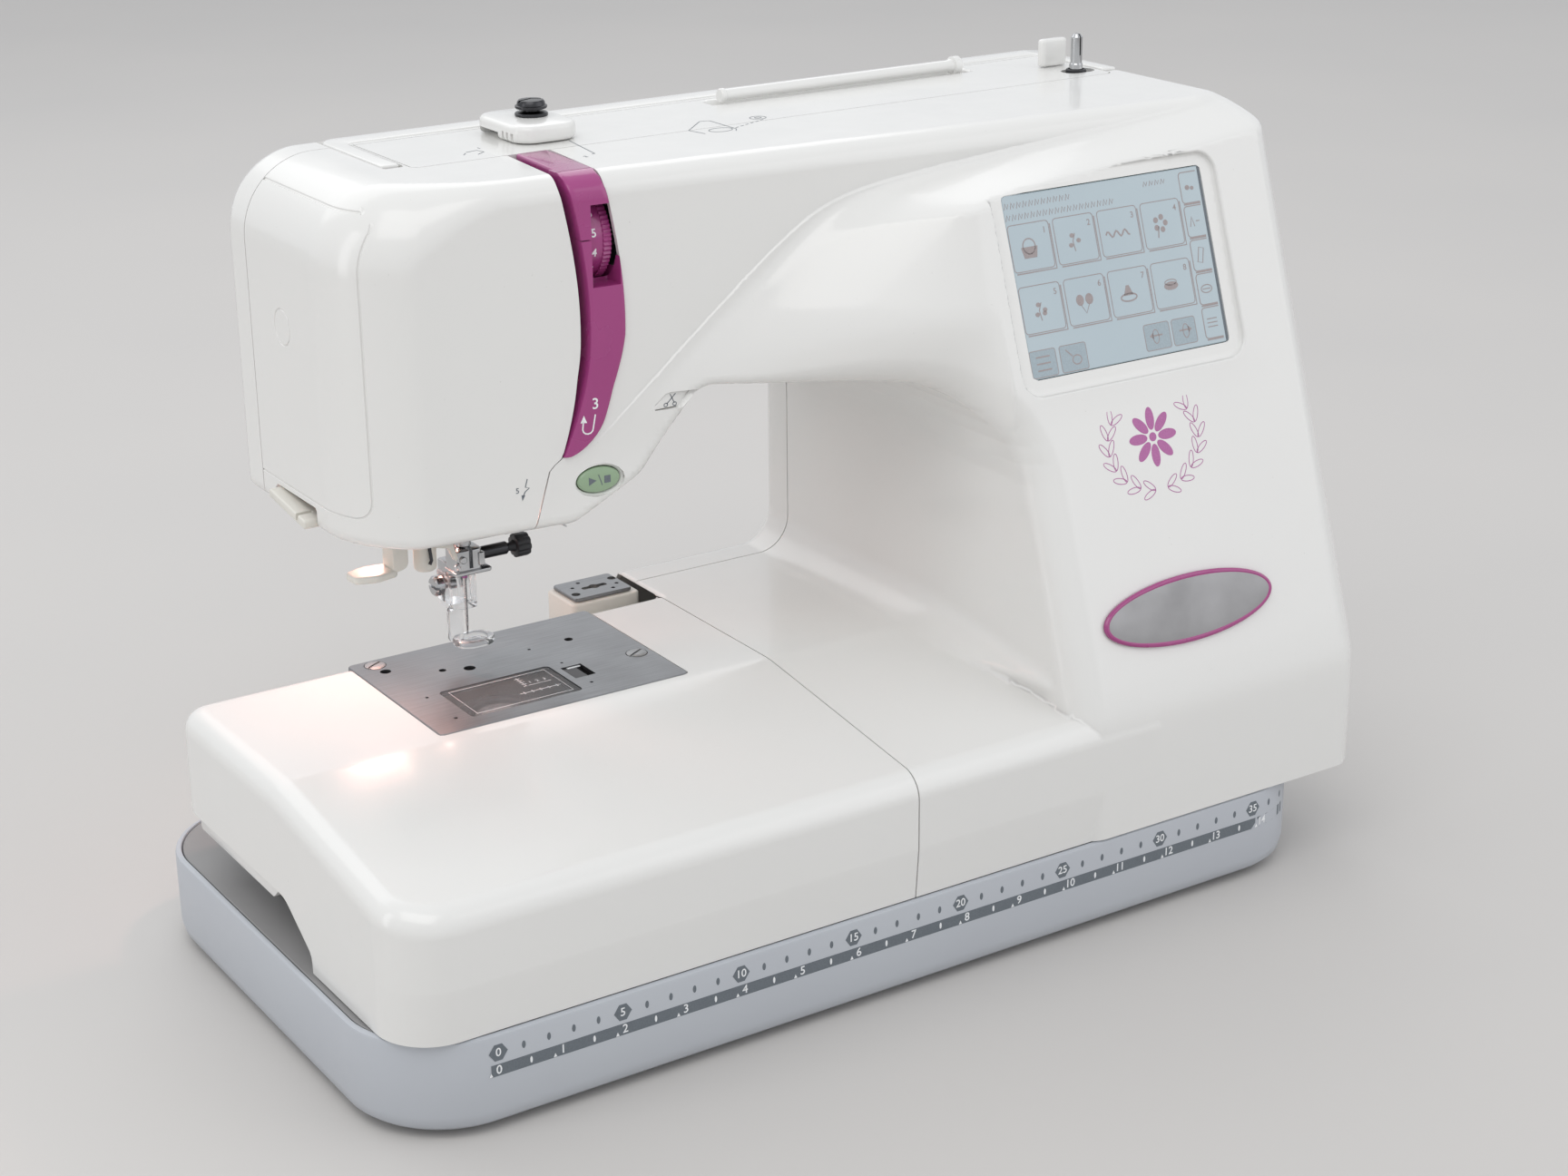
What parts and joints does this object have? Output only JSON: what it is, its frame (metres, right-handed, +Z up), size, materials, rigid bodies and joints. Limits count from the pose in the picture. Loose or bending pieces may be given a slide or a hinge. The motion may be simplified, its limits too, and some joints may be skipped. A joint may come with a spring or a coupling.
{
  "type": "sewing machine",
  "caption": "Computerised embroidery sewing machine: white C-shaped body with touch screen on a grey ruler base, free arm, needle, rotary hook, hoop carriage and carrying handle.",
  "frame": {"origin": "centre of the bounding box in x and y, on the surface that the rubber feet stand on", "axes": "+Z up, +Y from the front (ruler side) to the back, +X from the needle end to the handwheel end"},
  "size_m": [0.467, 0.229, 0.3237],
  "materials": {
    "white_shell": "glossy moulded ABS",
    "cream_plastic": "satin moulded ABS, slightly warm",
    "base_grey": "satin cool grey moulded ABS",
    "plate_grey": "matt warm grey moulding",
    "rubber": "matt black rubber",
    "black_plastic": "satin black plastic",
    "magenta_plastic": "glossy magenta plastic",
    "green_plastic": "translucent pale green plastic",
    "clear_plastic": "clear polycarbonate",
    "lamp_lens": "frosted lamp lens",
    "lcd_glass": "liquid-crystal touch screen",
    "silver_badge": "satin silver plate with a coloured rim",
    "steel": "plated steel",
    "dark_steel": "blackened steel",
    "needle_plate_steel": "satin grey steel plate",
    "chrome": "bright chrome plating",
    "casting": "raw die-cast aluminium",
    "circuit_board": "green circuit board"
  },
  "bodies": {
    "root": {"base_tray": "base_grey", "rubber_foot_1": "rubber", "rubber_foot_2": "rubber", "rubber_foot_3": "rubber", "rubber_foot_4": "rubber", "base_top_plate": "plate_grey", "base_plate_screw": "dark_steel", "bed_cover": "white_shell", "needle_plate_screw_left": "steel", "needle_plate_screw_right": "steel", "needle_plate": "needle_plate_steel", "face_cover": "white_shell", "front_cover": "white_shell", "rear_cover": "white_shell", "top_cover": "white_shell", "bobbin_holder": "black_plastic", "motor": "casting", "drive_belt": "rubber", "timing_belt": "rubber", "machine_frame": "casting", "lower_thread_guide": "steel", "lamp_lens": "lamp_lens", "thread_cutter": "cream_plastic", "thread_guide_strip": "magenta_plastic", "pretension_guide": "white_shell", "pretension_disc": "dark_steel", "lcd_panel": "lcd_glass", "oval_badge": "silver_badge", "circuit_board": "circuit_board", "spool_pin": "white_shell", "bobbin_winder_stopper": "white_shell", "x_rail_unit": "steel", "power_inlet": "black_plastic"},
    "drive": {"main_shaft": "steel", "handwheel": "white_shell"},
    "motor_pulley": {"motor_pulley": "steel"},
    "lower_shaft": {"lower_shaft": "steel"},
    "rotary_hook": {"rotary_hook": "chrome"},
    "bobbin": {"bobbin": "clear_plastic"},
    "bobbin_cover_plate": {"bobbin_cover_plate": "clear_plastic"},
    "cover_release_button": {"cover_release_button": "black_plastic"},
    "needle_bar": {"needle_bar": "chrome", "needle_clamp": "chrome", "needle": "steel"},
    "needle_clamp_screw": {"needle_clamp_screw": "black_plastic"},
    "presser_bar": {"presser_bar": "chrome", "embroidery_foot": "clear_plastic"},
    "presser_lifter": {"presser_lifter": "cream_plastic"},
    "needle_threader": {"needle_threader": "cream_plastic"},
    "take_up_lever": {"take_up_lever": "chrome"},
    "tension_dial": {"tension_dial": "magenta_plastic"},
    "start_stop_button": {"start_stop_button": "green_plastic"},
    "thread_cutter_button": {"thread_cutter_button": "white_shell"},
    "carry_handle": {"carry_handle": "white_shell"},
    "bobbin_winder_arm": {"bobbin_winder_arm": "black_plastic"},
    "bobbin_winder_spindle": {"bobbin_winder_spindle": "chrome"},
    "x_carriage": {"x_carriage": "cream_plastic"},
    "y_carriage": {"y_carriage": "cream_plastic", "hoop_plate": "steel"},
    "power_switch": {"power_switch": "black_plastic"}
  },
  "joints": [
    {"name": "handwheel_turn", "type": "hinge", "parent": "root", "child": "drive", "pos_m": [0.2065, 0.0675, 0.2647], "axis": [1, 0, 0], "continuous": true},
    {"name": "motor_turn", "type": "hinge", "parent": "root", "child": "motor_pulley", "pos_m": [0.1865, 0.0055, 0.0947], "axis": [1, 0, 0], "continuous": true},
    {"name": "lower_shaft_turn", "type": "hinge", "parent": "root", "child": "lower_shaft", "pos_m": [0.0065, 0.0405, 0.0597], "axis": [1, 0, 0], "continuous": true},
    {"name": "hook_turn", "type": "hinge", "parent": "root", "child": "rotary_hook", "pos_m": [-0.1195, 0.0165, 0.0827], "axis": [0, 0, 1], "continuous": true},
    {"name": "bobbin_spin", "type": "hinge", "parent": "root", "child": "bobbin", "pos_m": [-0.1195, 0.0165, 0.0897], "axis": [0, 0, 1], "continuous": true},
    {"name": "bobbin_cover_lift", "type": "slide", "parent": "root", "child": "bobbin_cover_plate", "axis": [0, 0, 1], "range_m": [0, 0.03]},
    {"name": "cover_release_slide", "type": "slide", "parent": "root", "child": "cover_release_button", "axis": [1, 0, 0], "range_m": [0, 0.002], "stiffness_N_per_m": 200},
    {"name": "needle_stroke", "type": "slide", "parent": "root", "child": "needle_bar", "axis": [0, 0, 1], "range_m": [-0.0275, 0.0025]},
    {"name": "needle_clamp_screw_turn", "type": "hinge", "parent": "needle_bar", "child": "needle_clamp_screw", "pos_m": [-0.1035, 0.0475, 0.1512], "axis": [1, 0, 0], "range_deg": [-180, 180]},
    {"name": "presser_slide", "type": "slide", "parent": "root", "child": "presser_bar", "axis": [0, 0, 1], "range_m": [-0.0102, 0]},
    {"name": "presser_lifter_turn", "type": "hinge", "parent": "root", "child": "presser_lifter", "pos_m": [-0.1095, 0.0815, 0.1807], "axis": [0, 1, 0], "range_deg": [0, 40]},
    {"name": "threader_slide", "type": "slide", "parent": "root", "child": "needle_threader", "axis": [0, 0, 1], "range_m": [-0.022, 0], "stiffness_N_per_m": 60},
    {"name": "take_up_swing", "type": "hinge", "parent": "root", "child": "take_up_lever", "pos_m": [-0.0945, 0.0565, 0.2637], "axis": [1, 0, 0], "range_deg": [0, 50]},
    {"name": "tension_dial_turn", "type": "hinge", "parent": "root", "child": "tension_dial", "pos_m": [-0.0805, 0.014, 0.2817], "axis": [1, 0, 0], "range_deg": [-120, 120]},
    {"name": "start_stop_press", "type": "slide", "parent": "root", "child": "start_stop_button", "axis": [0, 1, 0], "range_m": [0, 0.0015], "stiffness_N_per_m": 400},
    {"name": "thread_cutter_press", "type": "slide", "parent": "root", "child": "thread_cutter_button", "axis": [0, 1, 0], "range_m": [0, 0.0015], "stiffness_N_per_m": 400},
    {"name": "handle_swing", "type": "hinge", "parent": "root", "child": "carry_handle", "pos_m": [0.0365, 0.0555, 0.3037], "axis": [1, 0, 0], "range_deg": [0, 95]},
    {"name": "winder_shift", "type": "slide", "parent": "root", "child": "bobbin_winder_arm", "axis": [1, 0, 0], "range_m": [0, 0.003]},
    {"name": "winder_spin", "type": "hinge", "parent": "bobbin_winder_arm", "child": "bobbin_winder_spindle", "pos_m": [0.1915, 0.0565, 0.3077], "axis": [0, 0, 1], "continuous": true},
    {"name": "embroidery_x", "type": "slide", "parent": "root", "child": "x_carriage", "axis": [1, 0, 0], "range_m": [-0.12, 0]},
    {"name": "embroidery_y", "type": "slide", "parent": "x_carriage", "child": "y_carriage", "axis": [0, 1, 0], "range_m": [0, 0.1]},
    {"name": "power_rocker", "type": "hinge", "parent": "root", "child": "power_switch", "pos_m": [0.2158, 0.032, 0.0767], "axis": [0, 1, 0], "range_deg": [-4, 4]}
  ],
  "couplings": [
    {"joint": "motor_turn", "follows": "handwheel_turn", "ratio": 3.375},
    {"joint": "lower_shaft_turn", "follows": "handwheel_turn", "ratio": 1},
    {"joint": "hook_turn", "follows": "handwheel_turn", "ratio": 2},
    {"joint": "presser_lifter_turn", "follows": "presser_slide", "rad_per_m": -68.353}
  ]
}
